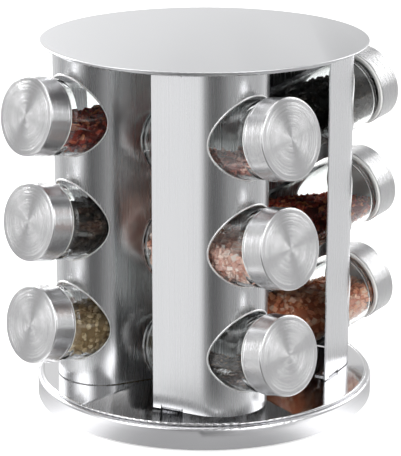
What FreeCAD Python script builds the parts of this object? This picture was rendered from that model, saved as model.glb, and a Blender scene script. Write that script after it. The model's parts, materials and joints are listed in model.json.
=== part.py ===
import FreeCAD, Part
import math
import os

import Sketcher
from FreeCAD import Placement, Rotation, Vector

# A revolving rack for twelve spice jars, in millimetres, +Z up, origin on the axis at the table.
# Four identical bent sheets stand on a round base and carry a round top. Each sheet is a wing, a
# round column with three jar holes, and a run towards the core, where it is flanged to the next one.
# +X is the way the first column's jars point; the other columns are turned a quarter at a time.

SIZES = {
    # jars and caps
    "jar_radius": 21.9,           # glass body
    "jar_length": 100.7,          # glass bottom to cap face
    "jar_tilt": 11.0,             # cap end up, degrees
    "glass_wall": 2.2,
    "glass_floor": 3.4,
    "glass_corner": 4.0,          # rounding under the jar
    "floor_thicken": 0.6,         # extra rounding inside the foot, where the glass is thicker
    "neck_inset": 3.2,            # body radius less neck radius
    "neck_wall": 2.1,
    "shoulder_gap": 1.6,          # from the shoulder to the liner's edge
    "mouth_gap": 1.4,             # room for the sifter insert under the liner's disc
    "cap_depth": 14.2,
    "cap_overhang": 0.9,          # cap radius less jar radius
    "cap_sheet": 0.6,
    "cap_edge": 1.0,              # rounding round the cap face
    "liner_wall": 2.35,
    "liner_disc": 1.0,
    "liner_show": 1.2,            # liner seen behind the steel cap
    "press_gap": 0.05,            # drawn gap of a press fit
    # column sheets
    "sheet": 0.8,                 # all bent and spun sheet metal
    "column_margin": 5.1,         # column radius less jar radius
    "lane_margin": 12.95,         # jar axis to the rack's centre plane, less jar radius
    "cap_reach": 9.66,            # gap between the column's nose and the cap's upper back edge
    "wing_flare": 20.0,           # degrees
    "wing_length": 28.9,
    "run_flare": 18.0,            # degrees
    "flange_length": 7.0,
    "bend_radius": 1.2,           # outer radius of every sharp bend
    "hole_play": 1.2,             # jar hole radius less jar radius
    "hole_lift": 0.9,             # the jar lies low in its hole
    "jar_stop_gap": 0.3,          # jar bottom to the neighbouring run
    "edge_gap": 0.5,              # sheet edge to the deck and to the pan
    # rows
    "row_count": 3,
    "row_pitch": 61.4,
    "jar_floor_gap": 1.7,         # lowest jar above the deck
    "head_room": 9.4,             # highest cap to the pan
    # tabs and rivets that hold the sheets
    "tab_width": 12.7,
    "tab_length": 9.0,
    "tab_bend": 2.0,              # outer radius of a tab's bend
    "tab_relief": 0.6,            # width of the slit beside a tab
    "tab_notch": 0.5,             # slit beyond the bend
    "wing_tab_inset": 5.5,        # from the wing's free edge
    "run_tab_inset": 22.0,        # from the column along the run
    "rivet_radius": 1.2,
    "rivet_head": 2.4,
    "rivet_dome": 0.9,
    "head_edge_share": 0.4,       # upright edge of a rivet's head, as a share of its dome
    # stand and bearing
    "pad_height": 2.0,
    "pad_radius": 7.0,
    "pad_circle": 76.0,
    "pad_count": 4,
    "foot_rim_inset": 15.0,       # inside the drum
    "foot_rim_height": 1.8,
    "ball_radius": 2.0,
    "ball_count": 24,
    "ball_circle": 66.0,
    "groove_play": 0.08,
    "groove_floor": 0.5,
    "race_thickness": 1.6,
    "race_outer_margin": 4.5,     # race beyond the ball circle
    "race_inner_margin": 9.0,     # race inside the ball circle
    "race_rivet_inset": 6.0,      # rivet circle inside the ball circle
    "race_rivet_head": 2.0,
    "race_rivet_height": 0.5,
    "race_rivet_count": 4,
    "cage_half_width": 3.4,
    "cage_thickness": 0.8,
    "bolt_radius": 3.0,
    "bolt_head_radius": 6.0,
    "bolt_head_height": 1.4,
    "bolt_chamfer": 0.5,
    "pivot_play": 0.08,
    "end_play": 0.3,
    "bush_wall": 2.0,
    "bush_flange": 4.0,           # flange radius beyond the bore
    "bush_stand": 0.3,            # bush above the base floor
    "washer_radius": 6.5,
    "washer_thickness": 0.8,
    "nut_width": 10.0,            # across flats
    "nut_height": 2.6,
    "thread_overrun": 1.0,        # thread cutter beyond each face of the nut
    "bolt_end": 0.6,              # thread beyond the nut
    # base drum
    "deck_margin": 9.87,          # deck edge beyond the columns
    "drum_overhang": 2.2,         # drum wall beyond the deck edge
    "drum_lift": 0.5,             # drum above the table
    "drum_lip": 2.0,
    "drum_shoulder": 1.9,
    "drum_ledge": 12.0,
    "floor_rim": 4.0,
    "deck_gap": 5.4,              # hollow between the base floor and the deck
    "deck_bead": 0.85,
    "deck_bead_rise": 0.5,
    # top
    "pan_margin": 3.37,           # pan edge beyond the columns
    "pan_depth": 2.7,
    "cover_overhang": 4.0,
    "cover_bead": 0.6,
}

COLUMNS = ("a", "b", "c", "d")
ROWS = ("low", "mid", "top")

doc = FreeCAD.newDocument("spice_carousel")


class Size:
    """A length or angle that carries its value and the expression that FreeCAD keeps."""

    def __init__(self, text, value):
        self.text = text
        self.value = value

    def __add__(self, other):
        other = size(other)
        return Size(f"({self.text} + {other.text})", self.value + other.value)

    def __radd__(self, other):
        return size(other) + self

    def __sub__(self, other):
        other = size(other)
        return Size(f"({self.text} - {other.text})", self.value - other.value)

    def __rsub__(self, other):
        return size(other) - self

    def __mul__(self, other):
        other = size(other)
        return Size(f"({self.text} * {other.text})", self.value * other.value)

    def __rmul__(self, other):
        return size(other) * self

    def __truediv__(self, other):
        other = size(other)
        return Size(f"({self.text} / {other.text})", self.value / other.value)

    def __neg__(self):
        return Size(f"(0 - {self.text})", -self.value)


def size(value):
    return value if isinstance(value, Size) else Size(f"{value:g}", float(value))


def sin(angle):
    return Size(f"sin({angle.text})", math.sin(math.radians(angle.value)))


def cos(angle):
    return Size(f"cos({angle.text})", math.cos(math.radians(angle.value)))


def tan(angle):
    return Size(f"tan({angle.text})", math.tan(math.radians(angle.value)))


def sqrt(number):
    return Size(f"sqrt({number.text})", math.sqrt(number.value))


def hypot(first, second):
    return sqrt(first * first + second * second)


# ---------------------------------------------------------------- driving and derived sizes

sheet_of_sizes = doc.addObject("Spreadsheet::Sheet", "sizes")
for row, (alias, number) in enumerate(SIZES.items(), start=1):
    sheet_of_sizes.set(f"A{row}", alias.replace("_", " "))
    sheet_of_sizes.set(f"B{row}", f"{number:g}")
    sheet_of_sizes.setAlias(f"B{row}", alias)
doc.recompute()

layout = doc.addObject("App::VarSet", "layout")


def given(alias):
    """A driving size from the sheet."""
    return Size(f"sizes.{alias}", SIZES[alias])


def derive(name, formula):
    """Keeps a derived size under a name of its own in the layout set."""
    layout.addProperty("App::PropertyFloat", name)
    layout.setExpression(name, formula.text)
    return Size(f"layout.{name}", formula.value)


t = given("sheet")
tilt = given("jar_tilt")
jar_radius = given("jar_radius")
jar_length = given("jar_length")
corner = given("glass_corner")
bend = given("bend_radius")
run_flare = given("run_flare")
wing_flare = given("wing_flare")
press_gap = given("press_gap")

cap_radius = derive("cap_radius", jar_radius + given("cap_overhang"))
neck_radius = derive("neck_radius", jar_radius - given("neck_inset"))
cap_back = derive("cap_back", jar_length - given("cap_depth"))
liner_back = derive("liner_back", cap_back - given("liner_show"))
shoulder = derive("shoulder", liner_back - given("shoulder_gap"))
hole_radius = derive("hole_radius", jar_radius + given("hole_play"))

# Plan of one column: its arc's centre is (column_along, -lane). A jar stops against the run of the
# sheet before it, so the column's distance from the axis follows from the jar's own length.
lane = derive("lane", jar_radius + given("lane_margin"))
column_radius = derive("column_radius", jar_radius + given("column_margin"))
stop_slope = derive("stop_slope", sqrt(1 - cos(run_flare) * cos(run_flare) * cos(tilt) * cos(tilt)))
stop_reach = derive(
    "stop_reach",
    (jar_radius - corner) * stop_slope + corner - corner * cos(tilt) * cos(run_flare),
)
column_along = derive(
    "column_along",
    (
        (column_radius + given("jar_stop_gap") + stop_reach) / cos(run_flare)
        - lane
        - lane * tan(run_flare)
        + (jar_length - given("cap_depth")) * cos(tilt)
        - cap_radius * sin(tilt)
        - column_radius
        - given("cap_reach")
    )
    / (1 - tan(run_flare)),
)
core_half = derive(
    "core_half", column_along * sin(run_flare) - lane * cos(run_flare) + column_radius
)
jar_along = derive(
    "jar_along",
    (core_half + given("jar_stop_gap") + stop_reach - lane * sin(run_flare)) / cos(run_flare),
)
reach = derive("reach", hypot(column_along, lane) + column_radius)

# Heights, from the table up.
foot_top = derive("foot_top", given("pad_height") + t)
ball_height = derive(
    "ball_height",
    foot_top + given("groove_floor") + given("groove_play") + given("ball_radius"),
)
groove_radius = derive("groove_radius", given("ball_radius") + given("groove_play"))
lower_race_top = derive("lower_race_top", foot_top + given("race_thickness"))
upper_race_low = derive("upper_race_low", 2 * ball_height - lower_race_top)
floor_low = derive("floor_low", upper_race_low + given("race_thickness"))
floor_top = derive("floor_top", floor_low + t)
deck_low = derive("deck_low", floor_top + given("deck_gap"))
deck = derive("deck", deck_low + t)
deck_edge = derive("deck_edge", reach + given("deck_margin"))
deck_bead_height = derive("deck_bead_height", deck + given("deck_bead_rise") - given("deck_bead"))
ledge = derive("ledge", deck_bead_height - given("deck_bead"))
drum_radius = derive("drum_radius", deck_edge + given("drum_overhang"))
jar_low = derive(
    "jar_low",
    deck + given("jar_floor_gap") + (jar_radius - corner) * cos(tilt) + corner - corner * sin(tilt),
)
pan_low = derive(
    "pan_low",
    jar_low
    + (given("row_count") - 1) * given("row_pitch")
    + jar_length * sin(tilt)
    + cap_radius * cos(tilt)
    + given("head_room"),
)
cover_low = derive("cover_low", pan_low + given("pan_depth"))
rack_height = derive("rack_height", cover_low + t)
pan_radius = derive("pan_radius", reach + given("pan_margin"))
cover_radius = derive("cover_radius", pan_radius + given("cover_overhang"))
doc.recompute()

# ---------------------------------------------------------------- helpers

nodes = []


def new_body(name):
    body = doc.addObject("PartDesign::Body", name)
    body.Label = name
    body.AllowCompound = True
    nodes.append(body)
    return body


def origin_of(body, role):
    return [item for item in body.Origin.OriginFeatures if item.Role == role][0]


def new_sketch(body, role, offset=(0, 0, 0), turn=Rotation()):
    """A sketch on one of the body's own planes; offset is in that plane's axes."""
    sketch = body.newObject("Sketcher::SketchObject", f"{body.Name}_sketch")
    sketch.AttachmentSupport = [(origin_of(body, role), "")]
    sketch.MapMode = "FlatFace"
    place = [size(step) for step in offset]
    sketch.AttachmentOffset = Placement(Vector(*[step.value for step in place]), turn)
    for axis, step in zip("xyz", place):
        if step.value:
            sketch.setExpression(f"AttachmentOffset.Base.{axis}", step.text)
    return sketch


def pin_point(sketch, geometry, end, x, y):
    """Ties one point of a sketch to two sizes."""
    for kind, axis, step in (("DistanceX", -2, x), ("DistanceY", -1, y)):
        if step.value == 0:
            sketch.addConstraint(Sketcher.Constraint("PointOnObject", geometry, end, axis))
            continue
        index = sketch.addConstraint(
            Sketcher.Constraint(kind, -1, 1, geometry, end, step.value)
        )
        sketch.setExpression(f"Constraints[{index}]", step.text)


def arc_between(start, end, radius, side):
    """The minor arc from start to end; side is 1 with the centre on the left, -1 on the right."""
    chord = end - start
    height = math.sqrt(max(radius**2 - (chord.Length / 2) ** 2, 0))
    normal = Vector(-chord.y, chord.x, 0).normalize()
    centre = (start + end) * 0.5 + normal * (height * side)
    first, last = (start, end) if side > 0 else (end, start)
    angles = [math.atan2(p.y - centre.y, p.x - centre.x) for p in (first, last)]
    if angles[1] < angles[0]:
        angles[1] += 2 * math.pi
    circle = Part.Circle(centre, Vector(0, 0, 1), radius)
    return Part.ArcOfCircle(circle, angles[0], angles[1])


def draw_outline(sketch, corners):
    """A closed outline. A corner is (x, y), or (x, y, radius, side) where an arc leads on from it."""
    points = [[size(c[0]), size(c[1])] for c in corners]
    spots = [Vector(x.value, y.value, 0) for x, y in points]
    starts, ends = [], []
    for index, c in enumerate(corners):
        start = spots[index]
        end = spots[(index + 1) % len(spots)]
        if len(c) == 4:
            radius = size(c[2])
            edge = sketch.addGeometry(arc_between(start, end, radius.value, c[3]), False)
            bound = sketch.addConstraint(Sketcher.Constraint("Radius", edge, radius.value))
            sketch.setExpression(f"Constraints[{bound}]", radius.text)
            starts.append((edge, 1 if c[3] > 0 else 2))
            ends.append((edge, 2 if c[3] > 0 else 1))
        else:
            edge = sketch.addGeometry(Part.LineSegment(start, end), False)
            starts.append((edge, 1))
            ends.append((edge, 2))
    for index in range(len(corners)):
        sketch.addConstraint(Sketcher.Constraint("Coincident", *ends[index - 1], *starts[index]))
        pin_point(sketch, *starts[index], *points[index])
    return sketch


def draw_circle(sketch, radius, x=0, y=0):
    radius = size(radius)
    x = size(x)
    y = size(y)
    centre = Vector(x.value, y.value, 0)
    edge = sketch.addGeometry(Part.Circle(centre, Vector(0, 0, 1), radius.value), False)
    pin_point(sketch, edge, 3, x, y)
    bound = sketch.addConstraint(Sketcher.Constraint("Radius", edge, radius.value))
    sketch.setExpression(f"Constraints[{bound}]", radius.text)
    return sketch


def feature(body, kind, sketch=None):
    item = body.newObject(f"PartDesign::{kind}", f"{body.Name}_{kind.lower()}")
    if sketch is not None:
        item.Profile = sketch
    body.Tip = item
    return item


def revolve(body, sketch):
    item = feature(body, "Revolution", sketch)
    item.ReferenceAxis = (sketch, ["V_Axis"])
    item.Angle = 360
    return item


def pad(body, sketch, length):
    item = feature(body, "Pad", sketch)
    item.Length = length.value
    item.setExpression("Length", length.text)
    return item


def cut_through(body, sketch, reverse=False):
    item = feature(body, "Pocket", sketch)
    item.Type = "ThroughAll"
    item.Reversed = reverse
    return item


def repeat_round(body, items, count):
    """Repeats features round the body's own upright axis."""
    item = feature(body, "PolarPattern")
    item.Originals = items
    item.Axis = (origin_of(body, "Z_Axis"), [""])
    item.Angle = 360
    item.Occurrences = int(count.value)
    item.setExpression("Occurrences", count.text)
    return item


def spun(name, corners):
    """A body turned about its upright axis from a half section of (radius, height) corners."""
    body = new_body(name)
    revolve(body, draw_outline(new_sketch(body, "XZ_Plane"), corners))
    return body


def drill_ring(body, radius, circle, count):
    """Round upright holes on a circle, from above the body down through it."""
    sketch = new_sketch(body, "XY_Plane", (0, 0, rack_height))
    draw_circle(sketch, radius, circle, 0)
    return repeat_round(body, [cut_through(body, sketch)], count)


def drill_at_rivets(body):
    """Holes for the rivets of all four sheets, at the wing tabs and the run tabs."""
    for x, y in (rivet_spot(wing_tab), rivet_spot(run_tab)):
        sketch = new_sketch(body, "XY_Plane", (0, 0, rack_height))
        draw_circle(sketch, given("rivet_radius") + press_gap, x, y)
        repeat_round(body, [cut_through(body, sketch)], size(len(COLUMNS)))


# ---------------------------------------------------------------- plan of a sheet

wing_root = (
    column_along + column_radius * sin(wing_flare),
    -lane - column_radius * cos(wing_flare),
)
wing_end = (
    wing_root[0] - given("wing_length") * cos(wing_flare),
    wing_root[1] - given("wing_length") * sin(wing_flare),
)
run_root = (
    column_along + column_radius * sin(run_flare),
    -lane + column_radius * cos(run_flare),
)
run_length = derive(
    "run_length",
    column_along * cos(run_flare) + lane * sin(run_flare) + core_half - t,
)

# A tab frame is (x, y of its near side on the sheet's outer face, heading east and north as the
# outline runs, heading in degrees).
wing_tab = (
    wing_end[0] + given("wing_tab_inset") * cos(wing_flare),
    wing_end[1] + given("wing_tab_inset") * sin(wing_flare),
    cos(wing_flare),
    sin(wing_flare),
    wing_flare.value,
)
run_tab = (
    run_root[0] - given("run_tab_inset") * cos(run_flare),
    run_root[1] + given("run_tab_inset") * sin(run_flare),
    -cos(run_flare),
    sin(run_flare),
    180 - run_flare.value,
)


def rivet_spot(tab):
    """The rivet's place: half way along the tab and in the middle of its flat."""
    x, y, east, north, _ = tab
    along = given("tab_width") / 2
    inward = (given("tab_length") + given("tab_bend")) / 2
    return x + along * east - inward * north, y + along * north + inward * east


def sheet_outline():
    """The sheet's section: outer face from wing to flange, then back along its inner face."""
    inner = column_radius - t

    def along(start, flare_x, flare_y, distance):
        return start[0] + distance * flare_x, start[1] + distance * flare_y

    east, north = -cos(run_flare), sin(run_flare)
    inward_x, inward_y = -sin(run_flare), -cos(run_flare)
    bend_start = along(run_root, east, north, run_length - bend)
    bend_end = along(along(run_root, east, north, run_length), inward_x, inward_y, bend)
    tip = along(bend_end, inward_x, inward_y, given("flange_length") - bend)
    tip_in = along(tip, -east, -north, t)
    bend_end_in = along(bend_end, -east, -north, t)
    bend_start_in = along(bend_start, inward_x, inward_y, t)
    run_root_in = (
        column_along + inner * sin(run_flare),
        -lane + inner * cos(run_flare),
    )
    wing_root_in = (
        column_along + inner * sin(wing_flare),
        -lane - inner * cos(wing_flare),
    )
    wing_end_in = along(wing_end, -sin(wing_flare), cos(wing_flare), t)
    nose = (column_along + column_radius, -lane)
    nose_in = (column_along + inner, -lane)
    return [
        wing_end,
        (*wing_root, column_radius, 1),
        (*nose, column_radius, 1),
        run_root,
        (*bend_start, bend, 1),
        bend_end,
        tip,
        tip_in,
        (*bend_end_in, bend - t, -1),
        bend_start_in,
        (*run_root_in, inner, -1),
        (*nose_in, inner, -1),
        wing_root_in,
        wing_end_in,
    ]


def tab_sketch(body, tab, corners, back=0):
    """A sketch across the sheet at a tab: its x runs inward from the outer face, its y up."""
    x, y, east, north, heading = tab
    turn = Rotation(Vector(0, 1, 0), heading)
    offset = (y - back * north, 0, x - back * east)
    return draw_outline(new_sketch(body, "YZ_Plane", offset, turn), corners)


def add_tab(body, tab, level, way):
    """Notches the sheet's edge and adds a tab bent inward, flat on level; way is 1 up, -1 down."""
    curve = given("tab_bend")
    root = level + way * (curve + given("tab_notch"))
    relief = given("tab_relief")
    notch = [(-t, level - way * t), (2 * t, level - way * t), (2 * t, root), (-t, root)]
    if way < 0:
        notch.reverse()
    opening = feature(body, "Pocket", tab_sketch(body, tab, notch, relief))
    width = given("tab_width") + 2 * relief
    opening.Length = width.value
    opening.setExpression("Length", width.text)
    opening.Reversed = True
    flat = level + way * t
    turn = level + way * curve
    section = [
        (0, root),
        (0, turn, curve, way),
        (curve, level),
        (given("tab_length"), level),
        (given("tab_length"), flat),
        (curve, flat, curve - t, -way),
        (t, turn),
        (t, root),
    ]
    pad(body, tab_sketch(body, tab, section), given("tab_width"))
    x, y = rivet_spot(tab)
    start = size(0) if way > 0 else rack_height
    drill = new_sketch(body, "XY_Plane", (0, 0, start))
    draw_circle(drill, given("rivet_radius") + press_gap, x, y)
    hole = feature(body, "Pocket", drill)
    depth = level + 3 * t if way > 0 else rack_height - level + 3 * t
    hole.Length = depth.value
    hole.setExpression("Length", depth.text)
    hole.Reversed = way > 0


def column_sheet(index, letter):
    body = new_body(f"column_sheet_{letter}")
    low = deck + given("edge_gap")
    outline = new_sketch(body, "XY_Plane", (0, 0, low))
    pad(body, draw_outline(outline, sheet_outline()), pan_low - given("edge_gap") - low)
    rise = jar_low + (column_along - jar_along) * tan(tilt) + given("hole_lift") / cos(tilt)
    turn = Rotation(Vector(1, 0, 0), -tilt.value)
    hole = new_sketch(body, "YZ_Plane", (-lane, rise, column_along), turn)
    cut = cut_through(body, draw_circle(hole, hole_radius), reverse=True)
    rows = feature(body, "LinearPattern")
    rows.Originals = [cut]
    rows.Direction = (origin_of(body, "Z_Axis"), [""])
    span = (given("row_count") - 1) * given("row_pitch")
    rows.Length = span.value
    rows.setExpression("Length", span.text)
    rows.Occurrences = int(SIZES["row_count"])
    rows.setExpression("Occurrences", "sizes.row_count")
    for tab in (wing_tab, run_tab):
        add_tab(body, tab, deck, 1)
        add_tab(body, tab, pan_low, -1)
    body.Placement = Placement(Vector(), Rotation(Vector(0, 0, 1), 90 * index))


def rivet_group(name, grip_low, grip_top, spots, shank, head, dome, count):
    """Upright rivets: a plain shank between two shallow domed heads, repeated round the axis."""
    body = new_body(name)
    edge = dome * given("head_edge_share")
    for x, y in spots:
        sketch = new_sketch(body, "XZ_Plane", (x, 0, -y))
        draw_outline(
            sketch,
            [
                (0, grip_low - dome),
                (head - edge, grip_low - dome),
                (head, grip_low - edge),
                (head, grip_low),
                (shank, grip_low),
                (shank, grip_top),
                (head, grip_top),
                (head, grip_top + edge),
                (head - edge, grip_top + dome),
                (0, grip_top + dome),
            ],
        )
        repeat_round(body, [revolve(body, sketch)], count)


# ---------------------------------------------------------------- stand and bearing

def foot_pads():
    body = new_body("foot_pads")
    sketch = draw_circle(new_sketch(body, "XY_Plane"), given("pad_radius"), given("pad_circle"), 0)
    repeat_round(body, [pad(body, sketch, given("pad_height"))], given("pad_count"))


def foot_plate():
    rim = drum_radius - given("foot_rim_inset")
    low = given("pad_height")
    body = spun(
        "foot_plate",
        [
            (given("bolt_radius") + press_gap, low),
            (rim - bend, low, bend, 1),
            (rim, low + bend),
            (rim, foot_top + given("foot_rim_height")),
            (rim - t, foot_top + given("foot_rim_height")),
            (rim - t, low + bend, bend - t, -1),
            (rim - bend, foot_top),
            (given("bolt_radius") + press_gap, foot_top),
        ],
    )
    drill_race_rivets(body)


def drill_race_rivets(body):
    circle = given("ball_circle") - given("race_rivet_inset")
    drill_ring(body, given("rivet_radius") + press_gap, circle, given("race_rivet_count"))


def race(name, seat, face, side):
    """A ring with a round groove for the balls; side is 1 when the groove opens upward."""
    circle = given("ball_circle")
    rise = ball_height - face
    half = sqrt(groove_radius * groove_radius - rise * rise)
    inner = circle - given("race_inner_margin")
    outer = circle + given("race_outer_margin")
    body = spun(
        name,
        [
            (inner, seat),
            (outer, seat),
            (outer, face),
            (circle + half, face, groove_radius, -side),
            (circle - half, face),
            (inner, face),
        ],
    )
    drill_race_rivets(body)


def bearing_balls():
    body = new_body("bearing_balls")
    ball = body.newObject("PartDesign::AdditiveSphere", "ball")
    ball.Radius = SIZES["ball_radius"]
    ball.setExpression("Radius", "sizes.ball_radius")
    ball.AttachmentSupport = [(origin_of(body, "XY_Plane"), "")]
    ball.MapMode = "FlatFace"
    ball.AttachmentOffset = Placement(Vector(SIZES["ball_circle"], 0, ball_height.value), Rotation())
    ball.setExpression("AttachmentOffset.Base.x", "sizes.ball_circle")
    ball.setExpression("AttachmentOffset.Base.z", ball_height.text)
    body.Tip = ball
    repeat_round(body, [ball], given("ball_count"))


def ball_cage():
    inner = given("ball_circle") - given("cage_half_width")
    outer = given("ball_circle") + given("cage_half_width")
    low = ball_height - given("cage_thickness") / 2
    top = ball_height + given("cage_thickness") / 2
    body = spun("ball_cage", [(inner, low), (outer, low), (outer, top), (inner, top)])
    drill_ring(body, groove_radius, given("ball_circle"), given("ball_count"))


def pivot_stack():
    """The pivot bolt with its bush, washer and nut, which hold the drum down on its bearing."""
    bolt = given("bolt_radius")
    head = given("bolt_head_radius")
    chamfer = given("bolt_chamfer")
    head_top = given("pad_height")
    head_low = head_top - given("bolt_head_height")
    washer_low = floor_top + given("bush_stand") + given("end_play")
    washer_top = washer_low + given("washer_thickness")
    bolt_top = washer_top + given("nut_height") + given("bolt_end")
    spun(
        "pivot_bolt",
        [
            (0, head_low),
            (head - chamfer, head_low),
            (head, head_low + chamfer),
            (head, head_top),
            (bolt, head_top),
            (bolt, bolt_top - chamfer),
            (bolt - chamfer, bolt_top),
            (0, bolt_top),
        ],
    )
    bore = bolt + given("pivot_play")
    wall = bore + given("bush_wall")
    spun(
        "pivot_bush",
        [
            (bore, floor_low - t),
            (bore + given("bush_flange"), floor_low - t),
            (bore + given("bush_flange"), floor_low),
            (wall, floor_low),
            (wall, floor_top + given("bush_stand")),
            (bore, floor_top + given("bush_stand")),
        ],
    )
    spun(
        "pivot_washer",
        [
            (bolt + press_gap, washer_low),
            (given("washer_radius"), washer_low),
            (given("washer_radius"), washer_top),
            (bolt + press_gap, washer_top),
        ],
    )
    prism = doc.addObject("Part::Prism", "nut_blank")
    prism.Polygon = 6
    thread = doc.addObject("Part::Cylinder", "nut_thread")
    overrun = given("thread_overrun")
    lengths = (
        (prism, "Circumradius", given("nut_width") / (2 * cos(size(30)))),
        (prism, "Height", given("nut_height")),
        (prism, "Placement.Base.z", washer_top),
        (thread, "Radius", bolt + press_gap),
        (thread, "Height", given("nut_height") + 2 * overrun),
        (thread, "Placement.Base.z", washer_top - overrun),
    )
    for item, name, length in lengths:
        item.setExpression(name, length.text)
    nut = doc.addObject("Part::Cut", "pivot_nut")
    nut.Base = prism
    nut.Tool = thread
    nut.Label = "pivot_nut"
    nodes.append(nut)


# ---------------------------------------------------------------- base drum and top

def base_floor():
    rim = drum_radius - t - press_gap
    bore = given("bolt_radius") + given("pivot_play") + given("bush_wall") + press_gap
    low = floor_low - given("floor_rim")
    body = spun(
        "base_floor",
        [
            (bore, floor_low),
            (rim - bend, floor_low, bend - t, -1),
            (rim - t, floor_top - bend),
            (rim - t, low),
            (rim, low),
            (rim, floor_top - bend, bend, 1),
            (rim - bend, floor_top),
            (bore, floor_top),
        ],
    )
    drill_race_rivets(body)


def base_drum():
    """The spun outer wall, turned in at the foot and over a round shoulder to a ledge."""
    lift = given("drum_lift")
    round_over = given("drum_shoulder")
    lip = drum_radius - t - given("drum_lip")
    inside = drum_radius - round_over - given("drum_ledge")
    spun(
        "base_drum",
        [
            (lip, lift),
            (drum_radius - bend, lift, bend, 1),
            (drum_radius, lift + bend),
            (drum_radius, ledge - round_over, round_over, 1),
            (drum_radius - round_over, ledge),
            (inside, ledge),
            (inside, ledge - t),
            (drum_radius - round_over, ledge - t, round_over - t, -1),
            (drum_radius - t, ledge - round_over),
            (drum_radius - t, lift + bend, bend - t, -1),
            (drum_radius - bend, lift + t),
            (lip, lift + t),
        ],
    )


def base_deck():
    """The polished top plate of the base, rolled round its edge."""
    bead = given("deck_bead")
    middle = deck_edge - bead
    low_rise = deck_bead_height - deck_low
    top_rise = deck - deck_bead_height
    body = spun(
        "base_deck",
        [
            (0, deck_low),
            (middle - sqrt(bead * bead - low_rise * low_rise), deck_low, bead, 1),
            (middle, deck_bead_height - bead, bead, 1),
            (deck_edge, deck_bead_height, bead, 1),
            (middle, deck_bead_height + bead, bead, 1),
            (middle - sqrt(bead * bead - top_rise * top_rise), deck),
            (0, deck),
        ],
    )
    drill_at_rivets(body)


def top_pan():
    body = spun(
        "top_pan",
        [
            (0, pan_low),
            (pan_radius - bend, pan_low, bend, 1),
            (pan_radius, pan_low + bend),
            (pan_radius, cover_low),
            (pan_radius - t, cover_low),
            (pan_radius - t, pan_low + bend, bend - t, -1),
            (pan_radius - bend, pan_low + t),
            (0, pan_low + t),
        ],
    )
    drill_at_rivets(body)


def top_cover():
    bead = given("cover_bead")
    middle = cover_radius - bead
    height = rack_height - bead
    rise = height - cover_low
    spun(
        "top_cover",
        [
            (0, cover_low),
            (middle - sqrt(bead * bead - rise * rise), cover_low, bead, 1),
            (middle, height - bead, bead, 1),
            (cover_radius, height, bead, 1),
            (middle, rack_height),
            (0, rack_height),
        ],
    )


# ---------------------------------------------------------------- jars

def glass_section():
    """Half section of a jar: rounded foot, plain body, round shoulder, straight neck."""
    body_in = jar_radius - given("glass_wall")
    neck_in = neck_radius - given("neck_wall")
    neck_step = given("neck_inset")
    inner_step = body_in - neck_in
    floor_round = corner - given("glass_wall") + given("floor_thicken")
    mouth = jar_length - given("cap_sheet") - given("liner_disc") - given("mouth_gap")
    inner_shoulder = shoulder - given("glass_wall") / 2
    return [
        (0, 0),
        (jar_radius - corner, 0, corner, 1),
        (jar_radius, corner),
        (jar_radius, shoulder - neck_step, neck_step, 1),
        (neck_radius, shoulder),
        (neck_radius, mouth),
        (neck_in, mouth),
        (neck_in, inner_shoulder, inner_step, -1),
        (body_in, inner_shoulder - inner_step),
        (body_in, given("glass_floor") + floor_round, floor_round, -1),
        (body_in - floor_round, given("glass_floor")),
        (0, given("glass_floor")),
    ]


def liner_section():
    outer = cap_radius - given("cap_sheet") - press_gap
    inner = outer - given("liner_wall")
    top = jar_length - given("cap_sheet")
    return [
        (0, top - given("liner_disc")),
        (inner, top - given("liner_disc")),
        (inner, liner_back),
        (outer, liner_back),
        (outer, top),
        (0, top),
    ]


def cap_section():
    inner = cap_radius - given("cap_sheet")
    edge = given("cap_edge")
    return [
        (0, jar_length - given("cap_sheet")),
        (inner, jar_length - given("cap_sheet")),
        (inner, cap_back),
        (cap_radius, cap_back),
        (cap_radius, jar_length - edge, edge, 1),
        (cap_radius - edge, jar_length),
        (0, jar_length),
    ]


def place_jar_piece(body, quarter, row):
    """Tips a piece from its own upright axis onto its jar's axis, in its column and row."""
    spots = ((jar_along, -lane), (lane, jar_along), (-jar_along, lane), (-lane, -jar_along))
    x, y = spots[quarter]
    z = jar_low + row * given("row_pitch")
    turn = Rotation(90 * quarter, 90 - tilt.value, 0)
    body.Placement = Placement(Vector(x.value, y.value, z.value), turn)
    for axis, step in zip("xyz", (x, y, z)):
        body.setExpression(f"Placement.Base.{axis}", step.text)


def jar(quarter, row):
    place = f"{COLUMNS[quarter]}_{ROWS[row]}"
    pieces = (
        ("jar_glass", glass_section()),
        ("cap_liner", liner_section()),
        ("cap_shell", cap_section()),
    )
    for piece, section in pieces:
        place_jar_piece(spun(f"{piece}_{place}", section), quarter, row)


# ---------------------------------------------------------------- the whole rack

foot_pads()
foot_plate()
race("lower_race", foot_top, lower_race_top, 1)
race("upper_race", floor_low, upper_race_low, -1)
bearing_balls()
ball_cage()
pivot_stack()
base_floor()
base_drum()
base_deck()
top_pan()
top_cover()
for index, letter in enumerate(COLUMNS):
    column_sheet(index, letter)
race_spot = [(given("ball_circle") - given("race_rivet_inset"), size(0))]
race_rivet = (
    race_spot,
    given("rivet_radius"),
    given("race_rivet_head"),
    given("race_rivet_height"),
    given("race_rivet_count"),
)
rivet_group("lower_race_rivets", given("pad_height"), lower_race_top, *race_rivet)
rivet_group("upper_race_rivets", upper_race_low, floor_top, *race_rivet)
sheet_rivet = (
    [rivet_spot(wing_tab), rivet_spot(run_tab)],
    given("rivet_radius"),
    given("rivet_head"),
    given("rivet_dome"),
    size(len(COLUMNS)),
)
rivet_group("deck_rivets", deck_low, deck + t, *sheet_rivet)
rivet_group("pan_rivets", pan_low - t, pan_low + t, *sheet_rivet)
for quarter in range(len(COLUMNS)):
    for row in range(len(ROWS)):
        jar(quarter, row)

doc.recompute()


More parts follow.
